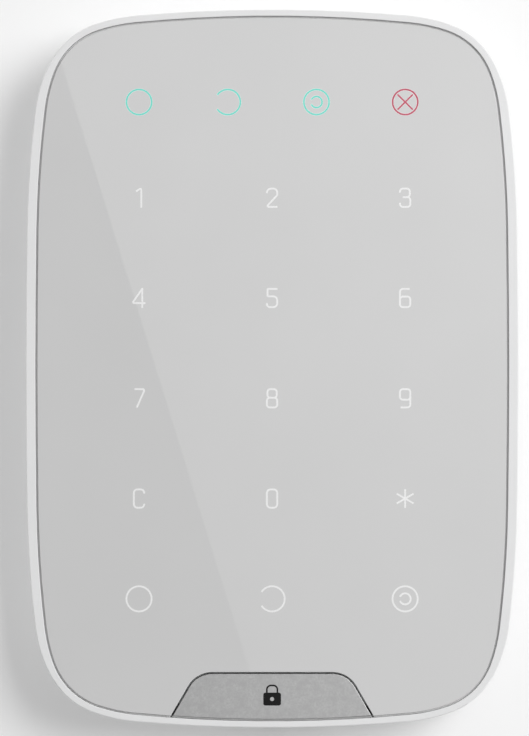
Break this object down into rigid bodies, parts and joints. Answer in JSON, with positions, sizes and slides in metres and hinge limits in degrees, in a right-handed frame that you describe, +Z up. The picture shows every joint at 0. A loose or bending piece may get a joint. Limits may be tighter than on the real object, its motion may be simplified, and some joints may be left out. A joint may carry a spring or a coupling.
{
  "type": "alarm keypad panel",
  "caption": "Slim wall-mounted touch keypad for an alarm system: white casing, glossy touch panel, status icons and metal badge, on a screwed-on hook bracket.",
  "frame": {"origin": "centre of the mounting bracket's rear face, on the wall plane, at mid-height of the keypad", "axes": "+X to the right as one faces the keypad, +Z up, +Y into the wall; the keypad faces -Y"},
  "size_m": [0.103, 0.014, 0.15],
  "materials": {
    "casing_white": "fine moulded texture, satin",
    "bracket_white": "moulded, matt",
    "panel_grey": "high gloss",
    "legend_white": "gloss, level with the panel",
    "icon_cyan": "gloss, level with the panel",
    "icon_red": "gloss, level with the panel",
    "badge_metal": "satin, fine brushed",
    "emblem_black": "gloss inlay",
    "bonding_tape": "matt foam tape",
    "clear_film": "clear film",
    "board_green": "solder mask",
    "copper": "etched foil",
    "lamp_white": "moulded",
    "chip_black": "moulded",
    "tinned_steel": "tinned",
    "passive_tan": "ceramic",
    "switch_black": "moulded",
    "spring_steel": "drawn wire",
    "cell_wrap": "shrink sleeve",
    "contact_nickel": "nickel plated",
    "screw_steel": "zinc plated",
    "button_grey": "moulded"
  },
  "bodies": {
    "bracket": {"mounting_bracket": "bracket_white"},
    "lock_screw": {"retaining_screw": "screw_steel"},
    "keypad": {"front_frame": "casing_white", "rear_housing": "casing_white", "case_screws": "screw_steel", "touch_panel": "panel_grey", "badge_plate": "badge_metal", "key_legends": "legend_white", "arming_legends": "legend_white", "status_icons": "icon_cyan", "fault_icon": "icon_red", "badge_emblem": "emblem_black", "panel_adhesive": "bonding_tape", "light_guide": "clear_film", "touch_electrodes": "copper", "key_lamps": "lamp_white", "status_lamps": "lamp_white", "main_board": "board_green", "controller_chip": "chip_black", "touch_chip": "chip_black", "clock_crystal": "tinned_steel", "board_passives": "passive_tan", "radio_board": "board_green", "radio_shield": "tinned_steel", "radio_antenna": "copper", "buzzer": "chip_black", "tamper_switch": "switch_black", "power_switch": "switch_black", "tamper_spring": "spring_steel", "power_spring": "spring_steel", "battery_cell_1": "cell_wrap", "battery_cell_2": "cell_wrap", "battery_cell_3": "cell_wrap", "battery_cell_4": "cell_wrap", "battery_springs": "spring_steel", "battery_contacts": "contact_nickel"},
    "tamper_button": {"tamper_button": "button_grey"},
    "power_button": {"power_button": "button_grey"}
  },
  "joints": [
    {"name": "keypad_lift", "type": "slide", "parent": "bracket", "child": "keypad", "axis": [0, 0, 1], "range_m": [0, 0.008]},
    {"name": "retaining_screw_out", "type": "slide", "parent": "bracket", "child": "lock_screw", "axis": [0, 0, -1], "range_m": [0, 0.01]},
    {"name": "tamper_button_press", "type": "slide", "parent": "keypad", "child": "tamper_button", "axis": [0, -1, 0], "range_m": [0, 0.001], "stiffness_N_per_m": 250, "springref_m": -0.001, "deforming": ["tamper_spring"]},
    {"name": "power_button_press", "type": "slide", "parent": "keypad", "child": "power_button", "axis": [0, -1, 0], "range_m": [0, 0.0008], "stiffness_N_per_m": 500, "springref_m": -0.0005, "deforming": ["power_spring"]}
  ]
}
